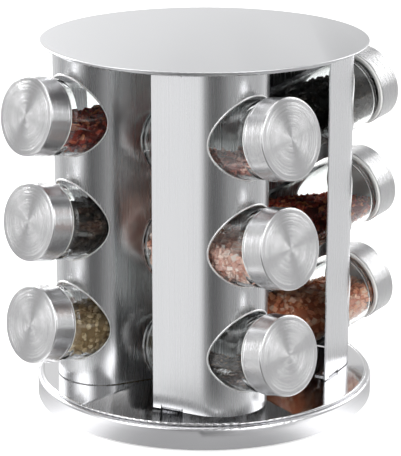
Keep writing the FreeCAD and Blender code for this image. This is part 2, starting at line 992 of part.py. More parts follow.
def check_document():
    """Stops at any failed object, bad solid, loose sketch or cut that removed nothing."""
    for item in doc.Objects:
        if "Invalid" in item.State or "Error" in item.State:
            raise RuntimeError(f"{item.Label} failed: {item.State}")
        if item.TypeId == "PartDesign::Pocket":
            if item.Shape.Volume >= item.BaseFeature.Shape.Volume - 1e-3:
                raise RuntimeError(f"{item.Label} cuts nothing")
    for node in nodes:
        if node.Shape.isNull() or not node.Shape.isValid():
            raise RuntimeError(f"{node.Label} has no valid shape")


check_document()
os.makedirs("parts", exist_ok=True)
for node in nodes:
    node.Shape.exportStep(f"parts/{node.Label}.step")
    box = node.Shape.BoundBox
    print(
        f"{node.Label}: {len(node.Shape.Solids)} solid(s), {node.Shape.Volume:.1f} mm3, "
        f"x {box.XMin:.2f} {box.XMax:.2f}, y {box.YMin:.2f} {box.YMax:.2f}, "
        f"z {box.ZMin:.2f} {box.ZMax:.2f}"
    )
print(f"{len(nodes)} nodes; column along {column_along.value:.2f}, core {core_half.value:.2f}, "
      f"jar from {jar_along.value:.2f}, reach {reach.value:.2f}, height {rack_height.value:.2f}")
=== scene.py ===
# %% [markdown]
# # A revolving spice rack in brushed steel
# The rack's shape and moving parts come ready made from its CAD model, which is loaded here as a
# fixed frame. This lesson dresses it: steel that shows its brushing, clear glass, moulded plastic,
# and twelve jars of spice grown with Geometry Nodes.

# %% Load the frame
import json
import math

import bmesh
import bpy
from mathutils import Matrix, Vector


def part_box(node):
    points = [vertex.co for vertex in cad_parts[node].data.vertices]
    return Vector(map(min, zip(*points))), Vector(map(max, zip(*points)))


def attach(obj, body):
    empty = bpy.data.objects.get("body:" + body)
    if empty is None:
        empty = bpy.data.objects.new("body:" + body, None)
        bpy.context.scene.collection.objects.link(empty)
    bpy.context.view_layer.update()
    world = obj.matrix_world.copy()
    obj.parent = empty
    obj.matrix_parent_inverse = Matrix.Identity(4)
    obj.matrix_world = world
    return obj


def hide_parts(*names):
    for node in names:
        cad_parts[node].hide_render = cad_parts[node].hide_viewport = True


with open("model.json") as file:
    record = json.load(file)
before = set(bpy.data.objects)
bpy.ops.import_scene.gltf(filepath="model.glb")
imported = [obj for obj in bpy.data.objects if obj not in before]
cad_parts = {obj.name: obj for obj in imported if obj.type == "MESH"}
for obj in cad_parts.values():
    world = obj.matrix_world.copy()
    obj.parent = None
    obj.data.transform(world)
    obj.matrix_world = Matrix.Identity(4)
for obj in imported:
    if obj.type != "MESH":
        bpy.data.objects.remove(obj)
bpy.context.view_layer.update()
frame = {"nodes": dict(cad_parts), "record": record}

NODES = frame["nodes"]
COLUMNS = "abcd"
ROWS = ("low", "mid", "top")
PLACES = [f"{column}_{row}" for column in COLUMNS for row in ROWS]
BEHAVIOUR = frame["record"]["behaviour"]
JOINTS = {joint["name"]: joint for joint in BEHAVIOUR["joints"]}

# %% [markdown]
# ## Camera
# A long lens well back, a little above the rack, looking between two columns so that one column
# shows its caps on the left and the next shows its caps on the right.

# %% Camera
AZIMUTH = math.radians(46.5)
ELEVATION = math.radians(16.5)
DISTANCE = 1.2307
LENS = 164.7
forward = Vector((
    -math.sin(AZIMUTH) * math.cos(ELEVATION),
    math.cos(AZIMUTH) * math.cos(ELEVATION),
    -math.sin(ELEVATION),
))
sideways = forward.cross(Vector((0, 0, 1))).normalized()
target = Vector((0, 0, 0.1005)) - 0.0022 * sideways
camera_data = bpy.data.cameras.new("camera")
camera_data.lens = LENS
camera_data.clip_end = 50
camera = bpy.data.objects.new("camera", camera_data)
camera.location = target - forward * DISTANCE
camera.rotation_euler = forward.to_track_quat("-Z", "Y").to_euler()
bpy.context.scene.collection.objects.link(camera)
bpy.context.scene.camera = camera
print("camera at", [round(v, 3) for v in camera.location])

# %% [markdown]
# ## A short way to write shader sums
# A shader tree is a web of nodes, and sums in it are tedious to wire by hand. `Value` wraps one
# socket, so that `1 - mask * 2` adds the Math nodes itself. `Finish` is one material being built:
# `add` makes any other node, and `feed` joins a result to the shader.

# %% Value and Finish


def wire(tree, target, source):
    """Joins a wrapped socket to an input, or sets the input to a plain value."""
    if isinstance(source, Value):
        tree.links.new(source.socket, target)
    else:
        target.default_value = source


class Value:
    """One socket of a shader tree that can stand in an ordinary sum."""

    def __init__(self, tree, socket):
        self.tree = tree
        self.socket = socket

    def maths(self, operation, first, second=None, third=None):
        node = self.tree.nodes.new("ShaderNodeMath")
        node.operation = operation
        for index, item in enumerate((first, second, third)):
            if item is not None:
                wire(self.tree, node.inputs[index], item)
        return Value(self.tree, node.outputs[0])

    def __add__(self, other):
        return self.maths("ADD", self, other)

    def __radd__(self, other):
        return self.maths("ADD", other, self)

    def __sub__(self, other):
        return self.maths("SUBTRACT", self, other)

    def __rsub__(self, other):
        return self.maths("SUBTRACT", other, self)

    def __mul__(self, other):
        return self.maths("MULTIPLY", self, other)

    def __rmul__(self, other):
        return self.maths("MULTIPLY", other, self)

    def __truediv__(self, other):
        return self.maths("DIVIDE", self, other)

    def __pow__(self, other):
        return self.maths("POWER", self, other)

    def above(self, edge, soft):
        """0 below the edge and 1 above it, with a soft step between."""
        node = self.tree.nodes.new("ShaderNodeMapRange")
        node.interpolation_type = "SMOOTHSTEP"
        wire(self.tree, node.inputs["Value"], self)
        node.inputs["From Min"].default_value = edge - soft
        node.inputs["From Max"].default_value = edge + soft
        return Value(self.tree, node.outputs["Result"])


class Finish:
    """A material round one Principled shader, with its constants set on the shader's own sockets."""

    def __init__(self, name, **constants):
        self.material = bpy.data.materials.new(name)
        self.material.use_nodes = True
        self.tree = self.material.node_tree
        self.shader = self.tree.nodes["Principled BSDF"]
        for socket, setting in constants.items():
            self.shader.inputs[socket.replace("_", " ")].default_value = setting

    def add(self, kind, settings=None, inputs=None, output=0):
        node = self.tree.nodes.new(kind)
        for key, setting in (settings or {}).items():
            setattr(node, key, setting)
        for key, source in (inputs or {}).items():
            wire(self.tree, node.inputs[key], source)
        return Value(self.tree, node.outputs[output])

    def where(self, stretch=(1, 1, 1)):
        """The place on the object in metres, stretched along each axis."""
        place = self.add("ShaderNodeTexCoord", output="Object")
        return self.add("ShaderNodeMapping", inputs={"Vector": place, "Scale": stretch})

    def noise(self, place, scale, detail=3.0, roughness=0.55):
        inputs = {"Vector": place, "Scale": scale, "Detail": detail, "Roughness": roughness}
        return self.add("ShaderNodeTexNoise", inputs=inputs)

    def ramp(self, value, stops):
        """A colour for each value; stops are (position, colour)."""
        node = self.tree.nodes.new("ShaderNodeValToRGB")
        slots = node.color_ramp.elements
        while len(slots) < len(stops):
            slots.new(0.5)
        for slot, (position, colour) in zip(slots, stops):
            slot.position = position
            slot.color = (*colour, 1)
        wire(self.tree, node.inputs[0], value)
        return Value(self.tree, node.outputs[0])

    def mix(self, factor, first, second):
        node = self.tree.nodes.new("ShaderNodeMix")
        node.data_type = "RGBA"
        wire(self.tree, node.inputs["Factor"], factor)
        for slot, colour in ((6, first), (7, second)):
            wire(self.tree, node.inputs[slot], colour if isinstance(colour, Value) else (*colour, 1))
        return Value(self.tree, node.outputs[2])

    def vector(self, operation, first, second=None, scale=None):
        """Vector Math: one operation on one or two vectors, or a vector and a scale."""
        inputs = {0: first}
        if second is not None:
            inputs[1] = second
        if scale is not None:
            inputs["Scale"] = scale
        return self.add("ShaderNodeVectorMath", {"operation": operation}, inputs)

    def bump(self, height, strength, distance=0.0002):
        inputs = {"Height": height, "Strength": strength, "Distance": distance}
        return self.add("ShaderNodeBump", inputs=inputs)

    def feed(self, **links):
        for socket, source in links.items():
            wire(self.tree, self.shader.inputs[socket.replace("_", " ")], source)
        return self.material


print("Value and Finish are ready")

# %% [markdown]
# ## Steel
# Brushed sheet is drawn past an abrasive belt, so its scratches run one way. Noise stretched a
# hundred times along the brushing gives streaks of many lengths. They go into the roughness and
# a faint bump, and only a little into the colour.

# %% Brushed, turned and polished steel


def brushed_steel(name, tone, rough, along=(1, 1, 0.012), grain=900.0, strength=0.05, streak=0.025):
    """Steel with straight scratches; along is small on the axis that the brushing follows."""
    finish = Finish(name, Metallic=1.0)
    fine = finish.noise(finish.where(along), grain, detail=4)
    broad = finish.noise(finish.where(along), grain / 7, detail=2)
    cloud = finish.noise(finish.where(), 14.0)
    light = [min(c * (1 + streak), 1) for c in tone]
    dark = [c * (1 - streak) for c in tone]
    colour = finish.mix(fine * 0.6 + broad * 0.4, dark, light)
    return finish.feed(
        Base_Color=colour,
        Roughness=rough + (fine - 0.5) * 0.10 + (cloud - 0.5) * 0.05,
        Normal=finish.bump(fine * 0.7 + broad * 0.3, strength),
    )


def turned_steel(name, tone, rough, grain=1500.0, strength=0.08):
    """Steel spun on a lathe about the upright axis: fine rings, so it varies with radius and height."""
    finish = Finish(name, Metallic=1.0)
    place = finish.add("ShaderNodeTexCoord", output="Object")
    split = finish.tree.nodes.new("ShaderNodeSeparateXYZ")
    wire(finish.tree, split.inputs[0], place)
    x, y, z = [Value(finish.tree, socket) for socket in split.outputs]
    radius = (x * x + y * y) ** 0.5
    rings = finish.add(
        "ShaderNodeTexNoise",
        settings={"noise_dimensions": "1D"},
        inputs={"W": radius + z * 0.6, "Scale": grain, "Detail": 3.0},
    )
    cloud = finish.noise(finish.where(), 11.0)
    colour = finish.mix(rings, [c * 0.96 for c in tone], [min(c * 1.03, 1) for c in tone])
    return finish.feed(
        Base_Color=colour,
        Roughness=rough + (rings - 0.5) * 0.10 + (cloud - 0.5) * 0.05,
        Normal=finish.bump(rings, strength, 0.0001),
    )


STEEL = {
    "sheet": brushed_steel("brushed_sheet", (0.72, 0.725, 0.74), 0.27),
    "drum": turned_steel("satin_drum", (0.77, 0.77, 0.79), 0.24),
    "deck": turned_steel("polished_deck", (0.68, 0.68, 0.69), 0.11, strength=0.02),
    "top": turned_steel("satin_top", (0.71, 0.715, 0.73), 0.34, strength=0.05),
    "plate": brushed_steel("mill_plate", (0.52, 0.53, 0.54), 0.42, along=(0.012, 1, 1)),
    "race": turned_steel("zinc_race", (0.62, 0.63, 0.65), 0.30),
    "fastener": turned_steel("bright_fastener", (0.68, 0.69, 0.71), 0.22),
    "ball": turned_steel("ground_ball", (0.82, 0.82, 0.84), 0.06, strength=0.01),
    "brass": turned_steel("turned_brass", (0.78, 0.60, 0.28), 0.25),
}
print("steel finishes:", ", ".join(STEEL))


# %% [markdown]
# ## Plastic, rubber and glass
# The cap inners are white moulded plastic, with a faint unevenness of gloss. The ball cage is
# black nylon, and the pads are soft rubber. The jars are plain soda glass.

# %% Moulded plastic and glass


def moulded(name, tone, rough, grain=600.0, strength=0.08, **constants):
    finish = Finish(name, **constants)
    fine = finish.noise(finish.where(), grain)
    cloud = finish.noise(finish.where(), 40.0)
    colour = finish.mix(cloud, [c * 0.94 for c in tone], [min(c * 1.04, 1) for c in tone])
    return finish.feed(
        Base_Color=colour,
        Roughness=rough + (fine - 0.5) * 0.15,
        Normal=finish.bump(fine, strength, 0.0001),
    )


def jar_glass():
    finish = Finish("jar_glass", Transmission_Weight=1.0, IOR=1.47)
    ripple = finish.noise(finish.where(), 30.0, detail=1)
    smear = finish.noise(finish.where(), 90.0)
    return finish.feed(
        Base_Color=finish.mix(smear, (0.95, 0.98, 0.97), (0.99, 1.0, 0.995)),
        Roughness=smear * 0.02,
        Normal=finish.bump(ripple, 0.10, 0.0004),
    )


PLASTIC = {
    "liner": moulded("white_liner", (0.88, 0.88, 0.86), 0.35),
    "sifter": moulded("clear_white_sifter", (0.90, 0.90, 0.88), 0.40),
    "cage": moulded("black_nylon", (0.035, 0.035, 0.038), 0.5),
    "rubber": moulded("foot_rubber", (0.03, 0.03, 0.03), 0.75, strength=0.2),
}
GLASS = jar_glass()
print("plastics:", ", ".join(PLASTIC), "and", GLASS.name)

# %% [markdown]
# ## Smooth shading for the CAD pieces
# A CAD node arrives as loose flat triangles. This small Geometry Nodes tree merges them and shades
# them smooth, but keeps every edge sharp where the surface turns by more than a set angle.

# %% Soften tree


def new_tree(name, inputs):
    """A Geometry Nodes tree with a geometry input and output and the named inputs."""
    tree = bpy.data.node_groups.new(name, "GeometryNodeTree")
    tree.interface.new_socket("Geometry", in_out="INPUT", socket_type="NodeSocketGeometry")
    for title, kind, default in inputs:
        socket = tree.interface.new_socket(title, in_out="INPUT", socket_type=kind)
        if default is not None:
            socket.default_value = default
    tree.interface.new_socket("Geometry", in_out="OUTPUT", socket_type="NodeSocketGeometry")
    entry = tree.nodes.new("NodeGroupInput")
    leave = tree.nodes.new("NodeGroupOutput")
    return tree, entry, leave


def place_node(tree, kind, settings=None, inputs=None):
    """Adds a node; inputs are links (sockets) or plain values."""
    node = tree.nodes.new(kind)
    for key, setting in (settings or {}).items():
        setattr(node, key, setting)
    for key, source in (inputs or {}).items():
        if isinstance(source, bpy.types.NodeSocket):
            tree.links.new(source, node.inputs[key])
        else:
            node.inputs[key].default_value = source
    return node


def socket_key(tree, title):
    """The identifier of a named input, which a modifier's setting goes by."""
    for item in tree.interface.items_tree:
        if item.name == title and item.in_out == "INPUT":
            return item.identifier
    raise KeyError(title)


def grown(name, mesh, tree, **settings):
    """Runs a Geometry Nodes tree on a mesh and returns the result as a plain mesh."""
    piece = bpy.data.objects.new(name, mesh)
    bpy.context.scene.collection.objects.link(piece)
    modifier = piece.modifiers.new(name, "NODES")
    modifier.node_group = tree
    for title, setting in settings.items():
        modifier[socket_key(tree, title)] = setting
    bpy.context.view_layer.update()
    depsgraph = bpy.context.evaluated_depsgraph_get()
    result = bpy.data.meshes.new_from_object(piece.evaluated_get(depsgraph), depsgraph=depsgraph)
    bpy.data.objects.remove(piece)
    return result


def soften_tree():
    tree, entry, leave = new_tree("soften", [
        ("Merge", "NodeSocketFloat", 1e-5),
        ("Angle", "NodeSocketFloat", 0.5),
    ])
    merged = place_node(tree, "GeometryNodeMergeByDistance", None, {
        "Geometry": entry.outputs[0],
        "Distance": entry.outputs["Merge"],
    })
    smooth = place_node(tree, "GeometryNodeSetShadeSmooth", {"domain": "FACE"}, {
        0: merged.outputs[0],
        "Shade Smooth": True,
    })
    angle = place_node(tree, "GeometryNodeInputMeshEdgeAngle")
    sharper = {"data_type": "FLOAT", "operation": "GREATER_THAN"}
    sharp = place_node(tree, "FunctionNodeCompare", sharper, {
        0: angle.outputs[0],
        1: entry.outputs["Angle"],
    })
    edges = place_node(tree, "GeometryNodeSetShadeSmooth", {"domain": "EDGE"}, {
        0: smooth.outputs[0],
        "Selection": sharp.outputs[0],
        "Shade Smooth": False,
    })
    tree.links.new(edges.outputs[0], leave.inputs[0])
    return tree


SOFTEN = soften_tree()


def soften(node, angle):
    modifier = NODES[node].modifiers.new("soften", "NODES")
    modifier.node_group = SOFTEN
    modifier[socket_key(SOFTEN, "Angle")] = angle


print("soften tree:", len(SOFTEN.nodes), "nodes")

# %% [markdown]
# ## Dressing the CAD pieces
# Each CAD piece gets its finish and the soften modifier. The spun pieces have tight bends of few
# facets, so their edges are kept smooth up to a larger angle.

# %% Dress the CAD pieces
DRESS = {
    "base_drum": STEEL["drum"],
    "base_deck": STEEL["deck"],
    "base_floor": STEEL["plate"],
    "foot_plate": STEEL["plate"],
    "top_cover": STEEL["top"],
    "top_pan": STEEL["top"],
    "upper_race": STEEL["race"],
    "lower_race": STEEL["race"],
    "upper_race_rivets": STEEL["fastener"],
    "lower_race_rivets": STEEL["fastener"],
    "deck_rivets": STEEL["fastener"],
    "pan_rivets": STEEL["fastener"],
    "pivot_bolt": STEEL["fastener"],
    "pivot_washer": STEEL["fastener"],
    "pivot_nut": STEEL["fastener"],
    "pivot_bush": STEEL["brass"],
    "bearing_balls": STEEL["ball"],
    "ball_cage": PLASTIC["cage"],
    "foot_pads": PLASTIC["rubber"],
}
ROUNDED = ("base_drum", "base_deck", "top_cover", "top_pan")
SHARP_EDGES = math.radians(28)
ROUND_EDGES = math.radians(50)
for column in COLUMNS:
    DRESS[f"column_sheet_{column}"] = STEEL["sheet"]
for place in PLACES:
    DRESS[f"jar_glass_{place}"] = GLASS
    DRESS[f"cap_shell_{place}"] = STEEL["top"]
    DRESS[f"cap_liner_{place}"] = PLASTIC["liner"]
for name, material in DRESS.items():
    mesh = NODES[name].data
    mesh.materials.clear()
    mesh.materials.append(material)
    soften(name, ROUND_EDGES if name in ROUNDED else SHARP_EDGES)
print(len(DRESS), "CAD nodes dressed of", len(NODES))

# %% [markdown]
# ## Where each jar lies
# Every jar is tilted and belongs to one of twelve places. Its joint gives the axis, and its CAD
# solid's own vertices, measured along and across that axis, give the rest: a matrix that carries a
# piece made upright at the origin to its place, a radius and a length.

# %% Measure the jars


def measure(node, axis):
    """(matrix from upright at the origin to the node's place, radius, length)."""
    along = Vector(axis).normalized()
    side = Vector((0, 0, 1)).cross(along).normalized()
    lift = along.cross(side)
    points = [vertex.co for vertex in NODES[node].data.vertices]
    spans = []
    for way in (side, lift, along):
        reach = [point.dot(way) for point in points]
        spans.append((min(reach), max(reach)))
    centre = side * sum(spans[0]) / 2 + lift * sum(spans[1]) / 2 + along * spans[2][0]
    turn = Matrix((side, lift, along)).transposed().to_4x4()
    radius = (spans[0][1] - spans[0][0]) / 2
    return Matrix.Translation(centre) @ turn, radius, spans[2][1] - spans[2][0]


def jar_axis(place):
    return JOINTS[f"jar_{place}_draw"]["axis"]


_, JAR_RADIUS, JAR_LENGTH = measure("jar_glass_a_low", jar_axis("a_low"))
_, CAP_RADIUS, CAP_DEPTH = measure("cap_shell_a_low", jar_axis("a_low"))
_, LINER_RADIUS, LINER_DEPTH = measure("cap_liner_a_low", jar_axis("a_low"))
JAR_TILT = math.asin(jar_axis("a_low")[2])
print(f"glass {JAR_RADIUS * 2000:.1f} x {JAR_LENGTH * 1000:.1f} mm, cap {CAP_RADIUS * 2000:.1f} x "
      f"{CAP_DEPTH * 1000:.1f} mm, tilt {math.degrees(JAR_TILT):.1f} degrees")

# %% [markdown]
# ## Turning round things
# Caps, liners and jars are round, so each is turned: a half section of corners, some of them
# rounded, is swept round the axis. The sweep also lays out a UV map, with the angle in u and the
# length along the section in v, which the brushing of the caps will follow.

# %% Lathe
MM = 0.001
STEPS = 96


def rounded(corners, facets=5):
    """Section points in metres from (radius, height) or (radius, height, rounding) corners in mm."""
    spots = [Vector((c[0], c[1])) * MM for c in corners]
    points = []
    for index, corner in enumerate(corners):
        spot = spots[index]
        if len(corner) == 2:
            points.append(spot)
            continue
        before = (spots[index - 1] - spot).normalized()
        after = (spots[(index + 1) % len(spots)] - spot).normalized()
        half = before.angle(after) / 2
        radius = corner[2] * MM
        centre = spot + (before + after).normalized() * (radius / math.sin(half))
        start = spot + before * (radius / math.tan(half)) - centre
        sweep = start.angle_signed(spot + after * (radius / math.tan(half)) - centre)
        for step in range(facets + 1):
            turn = -sweep * step / facets
            points.append(centre + Matrix.Rotation(turn, 2) @ start)
    return points


def lathe(name, section, steps=STEPS):
    """Sweeps a section, which runs from the axis to the axis, round the upright axis."""
    lengths = [0.0]
    for first, second in zip(section, section[1:]):
        lengths.append(lengths[-1] + (second - first).length)
    mesh_data = bmesh.new()
    uv = mesh_data.loops.layers.uv.new("turned")
    rings = []
    for point in section:
        if point.x < 1e-7:
            rings.append([mesh_data.verts.new((0, 0, point.y))] * steps)
            continue
        ring = []
        for step in range(steps):
            angle = 2 * math.pi * step / steps
            ring.append(mesh_data.verts.new((point.x * math.cos(angle), point.x * math.sin(angle), point.y)))
        rings.append(ring)
    for index, (ring, above) in enumerate(zip(rings, rings[1:])):
        for step in range(steps):
            after = (step + 1) % steps
            corners = [(ring[step], step, index), (ring[after], step + 1, index),
                       (above[after], step + 1, index + 1), (above[step], step, index + 1)]
            unique = []
            for corner in corners:
                if corner[0] not in [kept[0] for kept in unique]:
                    unique.append(corner)
            if len(unique) < 3:
                continue
            face = mesh_data.faces.new([corner[0] for corner in unique])
            for loop, corner in zip(face.loops, unique):
                loop[uv].uv = (corner[1] / steps, lengths[corner[2]])
    bmesh.ops.recalc_face_normals(mesh_data, faces=mesh_data.faces)
    mesh = bpy.data.meshes.new(name)
    mesh_data.to_mesh(mesh)
    mesh_data.free()
    mesh.shade_smooth()
    mesh.set_sharp_from_angle(angle=math.radians(35))
    return mesh


def put(name, mesh, matrix, body, material, stands_for=None):
    """Makes a piece from a copy of mesh, with its place in the mesh, and rides it on a body."""
    mesh = mesh.copy()
    mesh.name = name
    mesh.transform(matrix)
    mesh.materials.clear()
    mesh.materials.append(material)
    piece = bpy.data.objects.new(name, mesh)
    bpy.context.scene.collection.objects.link(piece)
    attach(piece, body)
    if stands_for:
        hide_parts(stands_for)
    return piece


# %% [markdown]
# ## Caps
# The steel of a cap is drawn over a plastic inner. Its face is brushed in circles, and each
# scratch is a tiny groove that leans the surface in and out. Light therefore smears along the
# radius, which makes the two bright fans of a spun disc. A bump of such fine rings would be lost
# between two samples, so the normal is leaned directly: across the ring direction, by noise that
# reads only v of the UV map, the length along the turned section.

# %% Cap steel
RING_SCALE = 15000.0
RING_LEAN = 2.0


def cap_steel():
    finish = Finish("cap_steel", Metallic=1.0)
    split = finish.tree.nodes.new("ShaderNodeSeparateXYZ")
    wire(finish.tree, split.inputs[0], finish.add("ShaderNodeUVMap", {"uv_map": "turned"}))
    along = Value(finish.tree, split.outputs[1])

    def rings(scale, detail):
        return finish.add(
            "ShaderNodeTexNoise",
            settings={"noise_dimensions": "1D"},
            inputs={"W": along, "Scale": scale, "Detail": detail},
        )

    normal = finish.add("ShaderNodeNewGeometry", output="Normal")
    around = finish.add("ShaderNodeTangent", {"direction_type": "UV_MAP", "uv_map": "turned"})
    across = finish.vector("CROSS_PRODUCT", normal, around)
    lean = finish.vector("SCALE", across, scale=(rings(RING_SCALE, 1.0) - 0.5) * RING_LEAN)
    leaning = finish.vector("NORMALIZE", finish.vector("ADD", normal, lean))
    smear = finish.noise(finish.where(), 60.0)
    broad = rings(900.0, 2.0)
    return finish.feed(
        Base_Color=finish.mix(broad, (0.74, 0.74, 0.75), (0.79, 0.79, 0.80)),
        Roughness=0.20 + (broad - 0.5) * 0.05 + (smear - 0.5) * 0.03,
        Normal=leaning,
    )


CAP_STEEL = cap_steel()
print("cap steel:", len(CAP_STEEL.node_tree.nodes), "nodes")

# %% [markdown]
# ### The caps' shape
# A shell is open at the back, with a fine bead round its rim. The plastic inner fits in it, and
# its rim shows as a white line behind the steel.

# %% Turn the caps and their liners
cap_r = CAP_RADIUS / MM
cap_d = CAP_DEPTH / MM
liner_r = LINER_RADIUS / MM
SHELL_WALL = 0.6
BEAD = 0.22
cap_mesh = lathe("cap_shell", rounded([
    (0, cap_d),
    (cap_r - BEAD, cap_d, 1.0),
    (cap_r - BEAD, 1.9, 0.4),
    (cap_r, 1.5, 0.3),
    (cap_r, 0, 0.3),
    (liner_r + 0.04, 0),
    (liner_r + 0.04, cap_d - SHELL_WALL),
    (0, cap_d - SHELL_WALL),
]))
liner_d = LINER_DEPTH / MM
liner_mesh = lathe("cap_liner", rounded([
    (0, liner_d),
    (liner_r, liner_d),
    (liner_r, 0, 0.35),
    (liner_r - 2.35, 0, 0.35),
    (liner_r - 2.35, liner_d - 1.0),
    (0, liner_d - 1.0),
]))
for place in PLACES:
    matrix, _, _ = measure(f"cap_shell_{place}", jar_axis(place))
    put(f"steel_cap_{place}", cap_mesh, matrix, f"cap_{place}", CAP_STEEL, f"cap_shell_{place}")
    matrix, _, _ = measure(f"cap_liner_{place}", jar_axis(place))
    put(
        f"cap_inner_{place}",
        liner_mesh,
        matrix,
        f"cap_{place}",
        PLASTIC["liner"],
        f"cap_liner_{place}",
    )
print("turned", len(PLACES), "caps of", len(cap_mesh.polygons), "faces")

# %% [markdown]
# ## Jars
# A jar has a thick base with a push-up in the middle, straight walls, a shoulder and a narrower
# neck that the cap goes over.

# %% Turn the glass
jar_r = JAR_RADIUS / MM
jar_l = JAR_LENGTH / MM
WALL = 2.2
NECK = jar_r - 3.2
NECK_WALL = 2.1
FLOOR = 3.4
SHOULDER = 83.7
glass_mesh = lathe("jar_glass", rounded([
    (0, 0.9),
    (jar_r - 6.5, 0.7, 1.0),
    (jar_r - 5.0, 0.02, 0.8),
    (jar_r, 0.02, 3.9),
    (jar_r, SHOULDER, 3.15),
    (NECK, SHOULDER, 0.0001),
    (NECK, jar_l, 0.6),
    (NECK - NECK_WALL, jar_l, 0.6),
    (NECK - NECK_WALL, SHOULDER - 1.1, 0.0001),
    (jar_r - WALL, SHOULDER - 1.1, 2.9),
    (jar_r - WALL, FLOOR, 2.4),
    (0, FLOOR + 0.6),
], facets=7))
for place in PLACES:
    matrix, _, _ = measure(f"jar_glass_{place}", jar_axis(place))
    put(f"glass_{place}", glass_mesh, matrix, f"jar_{place}", GLASS, f"jar_glass_{place}")
print("turned", len(PLACES), "jars of", len(glass_mesh.polygons), "faces")

# %% [markdown]
# ## The edge of each hole
# A hole cut in thin sheet is deburred, which leaves a narrow bright edge. Its path is where the
# hole's tilted bore meets the column's round nose, so each point of it is worked out from the two
# radii, and Geometry Nodes draw a fine bead along that path.

# %% Bead tree


def bead_tree():
    tree, entry, leave = new_tree("bead", [
        ("Bead", "NodeSocketFloat", 0.0004),
        ("Finish", "NodeSocketMaterial", None),
    ])
    path = place_node(tree, "GeometryNodeMeshToCurve", None, {"Mesh": entry.outputs["Geometry"]})
    ring = place_node(tree, "GeometryNodeCurvePrimitiveCircle", None, {
        "Resolution": 8,
        "Radius": entry.outputs["Bead"],
    })
    tube = place_node(tree, "GeometryNodeCurveToMesh", None, {
        "Curve": path.outputs["Curve"],
        "Profile Curve": ring.outputs["Curve"],
    })
    real = place_node(tree, "GeometryNodeRealizeInstances", None, {"Geometry": tube.outputs[0]})
    dressed = place_node(tree, "GeometryNodeSetMaterial", None, {
        "Geometry": real.outputs[0],
        "Material": entry.outputs["Finish"],
    })
    tree.links.new(dressed.outputs[0], leave.inputs[0])
    return tree


BEAD_TREE = bead_tree()
print("bead tree:", len(BEAD_TREE.nodes), "nodes")

# %% [markdown]
# ### The path of the bead
# A point of the bore is carried along the jar's own axis until it meets the round nose.

# %% Beads round the holes
COLUMN_RADIUS = JAR_RADIUS + 5.1 * MM
HOLE_RADIUS = JAR_RADIUS + 1.2 * MM
HOLE_LIFT = 0.9 * MM
COLUMN_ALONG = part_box("column_sheet_a")[1][0] - COLUMN_RADIUS


def hole_path(place):
    """Closed line round one hole, on the column's outer face."""
    matrix, _, _ = measure(f"jar_glass_{place}", jar_axis(place))
    flat = Vector(jar_axis(place)).normalized()
    outward = Vector((flat.x, flat.y, 0)).normalized()
    side = Vector((0, 0, 1)).cross(outward)
    lift = flat.cross(side)
    foot = matrix.translation
    nose = outward * COLUMN_ALONG + side * foot.dot(side)
    points = []
    for step in range(STEPS):
        angle = 2 * math.pi * step / STEPS
        across = HOLE_RADIUS * math.cos(angle)
        start = foot + side * across + lift * (HOLE_RADIUS * math.sin(angle) + HOLE_LIFT)
        depth = math.sqrt(COLUMN_RADIUS ** 2 - across ** 2)
        travel = ((nose - start).dot(outward) + depth) / flat.dot(outward)
        points.append(start + flat * travel)
    mesh = bpy.data.meshes.new("hole_path")
    edges = [(index, (index + 1) % STEPS) for index in range(STEPS)]
    mesh.from_pydata(points, edges, [])
    return mesh


RIM = brushed_steel("bright_cut_edge", (0.97, 0.97, 0.97), 0.45, along=(1, 1, 1), strength=0.03)
BEAD_SIZE = 0.55 * MM
for place in PLACES:
    bead = grown("bead", hole_path(place), BEAD_TREE, Bead=BEAD_SIZE, Finish=RIM)
    bead.shade_smooth()
    put(f"hole_edge_{place}", bead, Matrix(), "carousel", RIM)
print("beads round", len(PLACES), "holes of", round(2 * HOLE_RADIUS / MM, 1), "mm")

# %% [markdown]
# ## Sifters and threads
# Under each cap the jar has a plastic sifter: a disc with a ring of small holes, pressed into the
# neck by a short skirt. The neck itself carries a raised thread. Neither is seen until a cap is
# lifted. The holes are cut by instanced pins, and the thread is a bead along a rising spiral.

# %% Sifter tree


def sifter_tree():
    tree, entry, leave = new_tree("sifter", [
        ("Hole", "NodeSocketFloat", 0.001),
        ("Ring", "NodeSocketFloat", 0.006),
        ("Count", "NodeSocketInt", 6),
        ("Outer", "NodeSocketFloat", 0.011),
        ("Many", "NodeSocketInt", 12),
        ("Finish", "NodeSocketMaterial", None),
    ])
    pin = place_node(tree, "GeometryNodeMeshCylinder", None, {
        "Vertices": 12,
        "Radius": entry.outputs["Hole"],
        "Depth": 0.03,
    })
    cutters = tree.nodes.new("GeometryNodeJoinGeometry")
    for ring, count in (("Ring", "Count"), ("Outer", "Many")):
        spots = place_node(tree, "GeometryNodeMeshCircle", None, {
            "Vertices": entry.outputs[count],
            "Radius": entry.outputs[ring],
        })
        pins = place_node(tree, "GeometryNodeInstanceOnPoints", None, {
            "Points": spots.outputs["Mesh"],
            "Instance": pin.outputs["Mesh"],
        })
        tree.links.new(pins.outputs[0], cutters.inputs[0])
    centre = place_node(tree, "GeometryNodeMeshCylinder", None, {
        "Vertices": 12,
        "Radius": entry.outputs["Hole"],
        "Depth": 0.03,
    })
    tree.links.new(centre.outputs["Mesh"], cutters.inputs[0])
    real = place_node(tree, "GeometryNodeRealizeInstances", None, {"Geometry": cutters.outputs[0]})
    cut = place_node(tree, "GeometryNodeMeshBoolean", {"operation": "DIFFERENCE"}, {
        "Mesh 1": entry.outputs["Geometry"],
        "Mesh 2": real.outputs[0],
    })
    plain = place_node(tree, "GeometryNodeRealizeInstances", None, {"Geometry": cut.outputs[0]})
    dressed = place_node(tree, "GeometryNodeSetMaterial", None, {
        "Geometry": plain.outputs[0],
        "Material": entry.outputs["Finish"],
    })
    tree.links.new(dressed.outputs[0], leave.inputs[0])
    return tree


SIFTER_TREE = sifter_tree()
print("sifter tree:", len(SIFTER_TREE.nodes), "nodes")

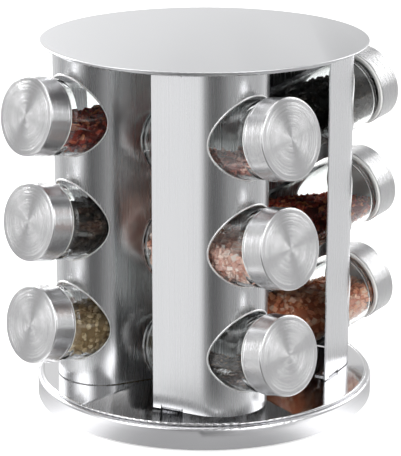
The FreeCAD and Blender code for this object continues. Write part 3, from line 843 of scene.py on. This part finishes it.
# %% [markdown]
# ### The thread's tree
# It sweeps a small round section along a spiral that rises without widening.

# %% Thread tree


def thread_tree():
    tree, entry, leave = new_tree("thread", [
        ("Turns", "NodeSocketFloat", 1.6),
        ("Radius", "NodeSocketFloat", 0.0187),
        ("Rise", "NodeSocketFloat", 0.006),
        ("Bead", "NodeSocketFloat", 0.0007),
        ("Finish", "NodeSocketMaterial", None),
    ])
    spiral = place_node(tree, "GeometryNodeCurveSpiral", None, {
        "Resolution": 72,
        "Rotations": entry.outputs["Turns"],
        "Start Radius": entry.outputs["Radius"],
        "End Radius": entry.outputs["Radius"],
        "Height": entry.outputs["Rise"],
    })
    ring = place_node(tree, "GeometryNodeCurvePrimitiveCircle", None, {
        "Resolution": 8,
        "Radius": entry.outputs["Bead"],
    })
    tube = place_node(tree, "GeometryNodeCurveToMesh", None, {
        "Curve": spiral.outputs["Curve"],
        "Profile Curve": ring.outputs["Curve"],
        "Fill Caps": True,
    })
    real = place_node(tree, "GeometryNodeRealizeInstances", None, {"Geometry": tube.outputs[0]})
    dressed = place_node(tree, "GeometryNodeSetMaterial", None, {
        "Geometry": real.outputs[0],
        "Material": entry.outputs["Finish"],
    })
    tree.links.new(dressed.outputs[0], leave.inputs[0])
    return tree


THREAD_TREE = thread_tree()
print("thread tree:", len(THREAD_TREE.nodes), "nodes")

# %% [markdown]
# ### Placing the sifters and threads
# One sifter and one thread are made at the origin, and each jar gets a copy of both.

# %% Sifters and threads
sifter_blank = lathe("sifter_blank", rounded([
    (0, jar_l + 0.1),
    (0, jar_l - 0.7),
    (NECK - NECK_WALL - 0.9, jar_l - 0.7),
    (NECK - NECK_WALL - 1.0, jar_l - 4.0),
    (NECK - NECK_WALL - 0.1, jar_l - 4.0),
    (NECK - NECK_WALL - 0.1, jar_l + 0.05),
    (NECK - 0.3, jar_l + 0.05),
    (NECK - 0.3, jar_l + 0.8),
    (NECK - NECK_WALL - 1.2, jar_l + 0.8),
    (NECK - NECK_WALL - 1.9, jar_l + 0.1),
]), steps=64)
sifter_mesh = grown(
    "sifter",
    sifter_blank,
    SIFTER_TREE,
    Hole=1.15 * MM,
    Ring=5.6 * MM,
    Count=6,
    Outer=10.6 * MM,
    Many=12,
    Finish=PLASTIC["sifter"],
)
thread_mesh = grown(
    "thread",
    bpy.data.meshes.new("nothing"),
    THREAD_TREE,
    Turns=1.6,
    Radius=(NECK - 0.1) * MM,
    Rise=5.0 * MM,
    Bead=0.75 * MM,
    Finish=GLASS,
)
thread_mesh.shade_smooth()
THREAD_START = jar_l - 8.2
for place in PLACES:
    matrix, _, _ = measure(f"jar_glass_{place}", jar_axis(place))
    put(f"sifter_{place}", sifter_mesh, matrix, f"jar_{place}", PLASTIC["sifter"])
    lifted = matrix @ Matrix.Translation((0, 0, THREAD_START * MM))
    put(f"thread_{place}", thread_mesh, lifted, f"jar_{place}", GLASS)
print("sifters of", len(sifter_mesh.polygons), "faces, threads of", len(thread_mesh.polygons))

# %% [markdown]
# ## Spice
# Ground and whole spices are heaps of small grains. Each jar gets a solid core that ends at the
# spice's top, and Geometry Nodes scatter grains over it: points on its faces, a small shape on each,
# turned and scaled at random. Every grain also keeps a random tone, which the material turns into
# the mixture of colours that a real spice has.

# %% Grain tree


def grain_tree():
    tree, entry, leave = new_tree("grains", [
        ("Density", "NodeSocketFloat", 200000.0),
        ("Size", "NodeSocketFloat", 0.0015),
        ("Stretch", "NodeSocketVector", (1.0, 1.0, 1.0)),
        ("Seed", "NodeSocketInt", 0),
        ("Flake", "NodeSocketBool", False),
        ("Finish", "NodeSocketMaterial", None),
    ])
    points = place_node(tree, "GeometryNodeDistributePointsOnFaces", None, {
        "Mesh": entry.outputs["Geometry"],
        "Density": entry.outputs["Density"],
        "Seed": entry.outputs["Seed"],
    })
    ball = place_node(tree, "GeometryNodeMeshIcoSphere", None, {"Radius": 0.5, "Subdivisions": 1})
    flake = place_node(tree, "GeometryNodeMeshCube", None, {"Size": (1.0, 1.0, 0.8)})
    shape = place_node(tree, "GeometryNodeSwitch", {"input_type": "GEOMETRY"}, {
        "Switch": entry.outputs["Flake"],
        "False": ball.outputs["Mesh"],
        "True": flake.outputs["Mesh"],
    })
    stretched = place_node(tree, "GeometryNodeTransform", None, {
        "Geometry": shape.outputs[0],
        "Scale": entry.outputs["Stretch"],
    })
    turn = place_node(tree, "FunctionNodeRandomValue", {"data_type": "FLOAT_VECTOR"}, {
        0: (0, 0, 0),
        1: (6.28, 6.28, 6.28),
        "Seed": 3,
    })
    vary = place_node(tree, "FunctionNodeRandomValue", {"data_type": "FLOAT"}, {
        2: 0.5,
        3: 1.35,
        "Seed": 5,
    })
    scale = place_node(tree, "ShaderNodeMath", {"operation": "MULTIPLY"}, {
        0: vary.outputs[1],
        1: entry.outputs["Size"],
    })
    copies = place_node(tree, "GeometryNodeInstanceOnPoints", None, {
        "Points": points.outputs["Points"],
        "Instance": stretched.outputs[0],
        "Rotation": turn.outputs[0],
        "Scale": scale.outputs[0],
    })
    tone = place_node(tree, "FunctionNodeRandomValue", {"data_type": "FLOAT"}, {2: 0.0, 3: 1.0, "Seed": 9})
    stored = {"data_type": "FLOAT", "domain": "INSTANCE"}
    marked = place_node(tree, "GeometryNodeStoreNamedAttribute", stored, {
        "Geometry": copies.outputs[0],
        "Name": "tone",
        "Value": tone.outputs[1],
    })
    real = place_node(tree, "GeometryNodeRealizeInstances", None, {"Geometry": marked.outputs[0]})
    # The core stays under the grains and takes the spice's darkest colour: painted shade between the grains.
    both = tree.nodes.new("GeometryNodeJoinGeometry")
    tree.links.new(real.outputs[0], both.inputs[0])
    tree.links.new(entry.outputs["Geometry"], both.inputs[0])
    whole = place_node(tree, "GeometryNodeRealizeInstances", None, {"Geometry": both.outputs[0]})
    dressed = place_node(tree, "GeometryNodeSetMaterial", None, {
        "Geometry": whole.outputs[0],
        "Material": entry.outputs["Finish"],
    })
    tree.links.new(dressed.outputs[0], leave.inputs[0])
    return tree


GRAINS = grain_tree()
print("grain tree:", len(GRAINS.nodes), "nodes")

# %% [markdown]
# ### The colours of a spice
# Each spice runs from its darkest colour, through its usual colour, to its palest grains. The
# darkest colour goes on the darkest grains, and is also painted shade on the solid core, which
# has no tone and shows between the grains. The usual colour's place on that run says how much of
# the heap is dark.

# %% Spice colours


def spice(name, place, dark, usual, pale, rough=0.75):
    """A dry spice: each grain takes one colour of the ramp, mottled by fine noise."""
    finish = Finish(name)
    # The core has no tone and reads 0, so it takes the darkest stop: painted shade between the grains.
    tone = finish.add("ShaderNodeAttribute", {"attribute_name": "tone"}, output="Fac")
    mottle = finish.noise(finish.where(), 1500.0)
    stops = [(0, dark), (place, usual), (1, pale)]
    return finish.feed(
        Base_Color=finish.ramp(tone * 0.8 + mottle * 0.3 - 0.05, stops),
        Roughness=rough + (mottle - 0.5) * 0.2,
        Normal=finish.bump(mottle, 0.4, 0.0003),
    )


# Each spice: where its usual colour sits, its darkest colour (on the darkest grains, and painted shade on
# the core between them), its usual colour, its palest colour, and for some a roughness.
SPICE_COLOURS = {
    "red_flakes": (0.55, (0.07, 0.006, 0.004), (0.40, 0.035, 0.02), (0.80, 0.34, 0.14)),
    "peppercorn": (0.70, (0.012, 0.009, 0.008), (0.045, 0.03, 0.022), (0.11, 0.08, 0.06)),
    "coriander": (0.50, (0.26, 0.16, 0.07), (0.66, 0.48, 0.27), (0.95, 0.80, 0.55)),
    "pink_salt": (0.45, (0.50, 0.18, 0.12), (0.88, 0.52, 0.40), (1.0, 0.90, 0.84), 0.35),
    "paprika_mix": (0.50, (0.16, 0.04, 0.03), (0.62, 0.20, 0.15), (0.95, 0.66, 0.55)),
    "clove": (0.60, (0.03, 0.014, 0.008), (0.12, 0.06, 0.035), (0.45, 0.27, 0.17)),
    "green_herb": (0.60, (0.05, 0.07, 0.02), (0.13, 0.16, 0.05), (0.28, 0.28, 0.12)),
    "orange_salt": (0.45, (0.45, 0.10, 0.04), (0.88, 0.38, 0.20), (1.0, 0.76, 0.60), 0.4),
}
SPICES = {name: spice(name, *colours) for name, colours in SPICE_COLOURS.items()}
print("spices:", ", ".join(SPICES))

# %% [markdown]
# ### Filling the jars
# A core is the inside of the jar, shrunk by a little more than half a grain so that the grains
# stay inside the glass, and cut by the slope of the spice's top.

# %% Fill the jars
# What each jar holds: spice, level at the middle (in jar radii above its axis), slope of the top
# in degrees, grain size in mm, stretch of a grain, and whether a grain is a flake.
FILLS = {
    "a_top": ("paprika_mix", -0.45, -6, 2.8, (1.0, 0.7, 0.35), True),
    "a_mid": ("pink_salt", 0.35, 4, 2.8, (1.0, 0.9, 0.8), True),
    "a_low": ("clove", -0.45, -5, 2.4, (1.6, 0.6, 0.6), False),
    "b_top": ("peppercorn", 0.70, 2, 3.2, (1.0, 1.0, 1.0), False),
    "b_mid": ("red_flakes", 0.30, 8, 2.8, (1.0, 0.8, 0.3), True),
    "b_low": ("orange_salt", 0.55, 3, 3.0, (1.0, 0.9, 0.8), True),
    "c_top": ("green_herb", 0.45, 4, 2.2, (1.5, 0.6, 0.25), True),
    "c_mid": ("coriander", 0.30, -3, 3.0, (1.0, 1.0, 1.0), False),
    "c_low": ("paprika_mix", 0.50, 5, 1.8, (1.0, 0.8, 0.5), True),
    "d_top": ("red_flakes", 0.10, 5, 3.0, (1.0, 0.8, 0.3), True),
    "d_mid": ("peppercorn", 0.55, -3, 3.0, (1.0, 1.0, 1.0), False),
    "d_low": ("coriander", 0.50, 2, 3.0, (1.0, 1.0, 1.0), False),
}


def spice_core(level, slope, margin):
    """The jar's inside, shrunk by a grain and cut by the spice's top, as a closed mesh."""
    inside = jar_r - WALL - margin
    neck = NECK - NECK_WALL - margin
    mesh = lathe("core", rounded([
        (0, FLOOR + 0.7 + margin),
        (inside, FLOOR + 0.7 + margin, 2.2),
        (inside, SHOULDER - 2.2, 2.0),
        (neck, SHOULDER - 2.2, 0.5),
        (neck, jar_l - 4.5),
        (0, jar_l - 4.5),
    ], facets=3), steps=48)
    lean = JAR_TILT + math.radians(slope)
    cut = bmesh.new()
    cut.from_mesh(mesh)
    edges = bmesh.ops.bisect_plane(
        cut,
        geom=cut.verts[:] + cut.edges[:] + cut.faces[:],
        plane_co=Vector((0, level * JAR_RADIUS, 0.45 * JAR_LENGTH)),
        plane_no=Vector((0, math.cos(lean), math.sin(lean))),
        clear_outer=True,
    )["geom_cut"]
    bmesh.ops.holes_fill(cut, edges=[item for item in edges if isinstance(item, bmesh.types.BMEdge)])
    bmesh.ops.triangulate(cut, faces=cut.faces[:])
    cut.to_mesh(mesh)
    cut.free()
    return mesh


triangles = 0
for index, (place, (name, level, slope, grain, stretch, flake)) in enumerate(FILLS.items()):
    core = spice_core(level, slope, grain * 0.62)
    # The core goes into the heap and shows the darkest colour between the grains as painted shade.
    heap = grown(
        "heap",
        core,
        GRAINS,
        Density=0.95 / (grain * MM) ** 2,
        Size=grain * MM,
        Stretch=stretch,
        Seed=index,
        Flake=flake,
        Finish=SPICES[name],
    )
    matrix, _, _ = measure(f"jar_glass_{place}", jar_axis(place))
    put(f"spice_{place}", heap, matrix, f"jar_{place}", SPICES[name])
    triangles += sum(len(face.vertices) - 2 for face in heap.polygons)
print(f"spices: {len(FILLS)} heaps, {triangles} triangles")

# %% [markdown]
# ## Studio
# Steel shows little of itself and much of its surroundings, so the room is built first as what
# the steel will mirror. It is dark on the camera's side, with bright sides about 50 and 130
# degrees round, where the caps look, and plain grey between and behind them.

# %% Brightness by the way round the rack


def by_turn(tree, place, levels):
    """Brightness by the angle from the camera's side, in degrees; right of it counts as positive."""
    split = tree.nodes.new("ShaderNodeSeparateXYZ")
    wire(tree, split.inputs[0], place)
    x, y = [Value(tree, socket) for socket in split.outputs[:2]]
    towards = x * math.sin(AZIMUTH) - y * math.cos(AZIMUTH)
    right = x * math.cos(AZIMUTH) + y * math.sin(AZIMUTH)
    ramp = tree.nodes.new("ShaderNodeValToRGB")
    ramp.color_ramp.interpolation = "CARDINAL"
    slots = ramp.color_ramp.elements
    while len(slots) < len(levels):
        slots.new(0.5)
    peak = max(level for _, level in levels)
    for slot, (degrees, level) in zip(slots, levels):
        slot.position = (degrees + 180) / 360
        slot.color = (level / peak, level / peak, level / peak, 1)
    wire(tree, ramp.inputs[0], right.maths("ARCTAN2", right, towards) / (2 * math.pi) + 0.5)
    grey = tree.nodes.new("ShaderNodeSeparateColor")
    wire(tree, grey.inputs[0], Value(tree, ramp.outputs[0]))
    return Value(tree, grey.outputs[0]) * peak


print("the camera looks from", round(math.degrees(AZIMUTH), 1), "degrees round")

# %% [markdown]
# ### Floor and reflection card
# The floor is a bright plain sheet. A ring of pale card round the base is seen only in
# reflections, and gives the base wall its two bright flanks.

# %% Floor and reflection card
CARD_GLOW = [
    (-180, 0.46),
    (-100, 0.50),
    (-82, 0.62),
    (-67, 1.00),
    (-55, 1.45),
    (-44, 1.30),
    (-34, 0.72),
    (-24, 0.44),
    (0, 0.40),
    (24, 0.44),
    (34, 0.72),
    (44, 1.30),
    (55, 1.45),
    (67, 1.00),
    (82, 0.62),
    (100, 0.50),
    (180, 0.46),
]
FLOOR_SIZE = 12.0
CARD_INNER = 0.089
CARD_OUTER = 0.145


def stage_mesh(name, mesh, material):
    piece = bpy.data.objects.new(name, mesh)
    bpy.context.scene.collection.objects.link(piece)
    mesh.materials.append(material)
    return piece


def floor():
    mesh = bpy.data.meshes.new("floor")
    half = FLOOR_SIZE / 2
    corners = [(-half, -half, 0), (half, -half, 0), (half, half, 0), (-half, half, 0)]
    mesh.from_pydata(corners, [], [(0, 1, 2, 3)])
    finish = Finish("pale_floor", Specular_IOR_Level=0.1, Emission_Strength=0.30)
    finish.shader.inputs["Emission Color"].default_value = (1, 1, 1, 1)
    cloud = finish.noise(finish.where(), 3.0)
    colour = finish.mix(cloud, (0.92, 0.92, 0.92), (0.95, 0.95, 0.95))
    piece = stage_mesh("floor", mesh, finish.feed(Base_Color=colour, Roughness=0.8))
    piece.visible_glossy = False


def card():
    ring = bmesh.new()
    inner = []
    outer = []
    for step in range(STEPS):
        angle = 2 * math.pi * step / STEPS
        x, y = math.cos(angle), math.sin(angle)
        inner.append(ring.verts.new((CARD_INNER * x, CARD_INNER * y, 0.0004)))
        outer.append(ring.verts.new((CARD_OUTER * x, CARD_OUTER * y, 0.0004)))
    for step in range(STEPS):
        after = (step + 1) % STEPS
        ring.faces.new((inner[step], outer[step], outer[after], inner[after]))
    mesh = bpy.data.meshes.new("reflection_card")
    ring.to_mesh(mesh)
    ring.free()
    finish = Finish("card_glow", Roughness=1.0)
    finish.shader.inputs["Base Color"].default_value = (0.05, 0.05, 0.05, 1)
    place = finish.add("ShaderNodeTexCoord", output="Object")
    glow = by_turn(finish.tree, place, CARD_GLOW)
    finish.shader.inputs["Emission Strength"].default_value = 1.0
    piece = stage_mesh("reflection_card", mesh, finish.feed(Emission_Color=glow))
    piece.visible_camera = False
    piece.visible_diffuse = False
    piece.visible_transmission = False
    piece.visible_shadow = False


floor()
card()
print("floor", FLOOR_SIZE, "m wide, card from", CARD_INNER, "to", CARD_OUTER, "m")

# %% [markdown]
# ### Surround and softboxes
# Upright steel seen from a little above mirrors what is below the horizon, the deck's reflection
# and the top mirror what is just above it, and the tilted caps mirror what is higher. So the
# surround has a ring of levels for each. Two softboxes give the shadows and the glints.

# %% Surround and softboxes
LOW_ROUND = [
    (-180, 0.80),
    (-127, 0.78),
    (-100, 0.50),
    (-74, 0.80),
    (-58, 1.08),
    (-49, 1.04),
    (-39, 0.40),
    (-29, 0.13),
    (-12, 0.13),
    (4, 0.20),
    (18, 0.34),
    (34, 0.38),
    (56, 0.50),
    (80, 0.56),
    (104, 0.56),
    (127, 0.80),
    (180, 0.84),
]
HIGH_ROUND = [
    (-180, 0.90),
    (-160, 1.30),
    (-138, 4.00),
    (-118, 2.00),
    (-93, 0.22),
    (-70, 2.00),
    (-48, 4.20),
    (-24, 0.80),
    (0, 0.40),
    (24, 0.80),
    (42, 4.00),
    (62, 2.20),
    (87, 0.22),
    (112, 2.20),
    (130, 3.80),
    (152, 0.70),
    (180, 0.85),
]
MID_ROUND = [
    (-180, 0.92),
    (-158, 1.10),
    (-136, 2.30),
    (-118, 1.40),
    (-93, 0.34),
    (-70, 1.20),
    (-48, 2.10),
    (-24, 0.55),
    (0, 0.34),
    (24, 0.55),
    (42, 2.10),
    (62, 1.30),
    (87, 0.30),
    (112, 1.40),
    (130, 2.30),
    (154, 0.76),
    (180, 0.88),
]
TOP_LEVEL = 0.34


def studio_world():
    """The surround: rings of levels below the horizon, above it and higher up, and a plain ceiling."""
    world = bpy.data.worlds.new("studio")
    bpy.context.scene.world = world
    world.use_nodes = True
    tree = world.node_tree
    ground = tree.nodes["Background"]
    coords = tree.nodes.new("ShaderNodeTexCoord")
    direction = Value(tree, coords.outputs["Generated"])
    split = tree.nodes.new("ShaderNodeSeparateXYZ")
    wire(tree, split.inputs[0], direction)
    z = Value(tree, split.outputs[2])
    middle = z.above(0.02, 0.08)
    high = z.above(0.33, 0.08)
    ceiling = z.above(0.72, 0.14)
    level = by_turn(tree, direction, LOW_ROUND) * (1 - middle)
    level = level + by_turn(tree, direction, MID_ROUND) * (middle - high)
    level = level + by_turn(tree, direction, HIGH_ROUND) * high
    wire(tree, ground.inputs["Strength"], level * (1 - ceiling) + ceiling * TOP_LEVEL)
    ground.inputs["Color"].default_value = (1, 1, 1, 1)


def softbox(name, place, aim, size, power):
    data = bpy.data.lights.new(name, "AREA")
    data.shape = "RECTANGLE"
    data.size, data.size_y = size
    data.energy = power
    lamp = bpy.data.objects.new(name, data)
    lamp.location = place
    lamp.rotation_euler = (Vector(aim) - Vector(place)).to_track_quat("-Z", "Y").to_euler()
    bpy.context.scene.collection.objects.link(lamp)


def around_rack(right, back, up):
    """A place by its distances to the camera's right, away from the camera, and up."""
    away = Vector((forward.x, forward.y, 0)).normalized()
    return sideways * right + away * back + Vector((0, 0, up))


studio_world()
middle = (0, 0, 0.1)
softbox("top_softbox", around_rack(-0.1, 0.1, 1.6), middle, (1.2, 1.2), 7)
softbox("back_left_softbox", around_rack(-0.42, 0.42, 0.50), (-0.03, 0, 0.2), (0.35, 0.35), 3.0)
bpy.context.scene.view_settings.view_transform = "Standard"
print("studio:", len(LOW_ROUND) + len(MID_ROUND) + len(HIGH_ROUND), "levels in the surround")
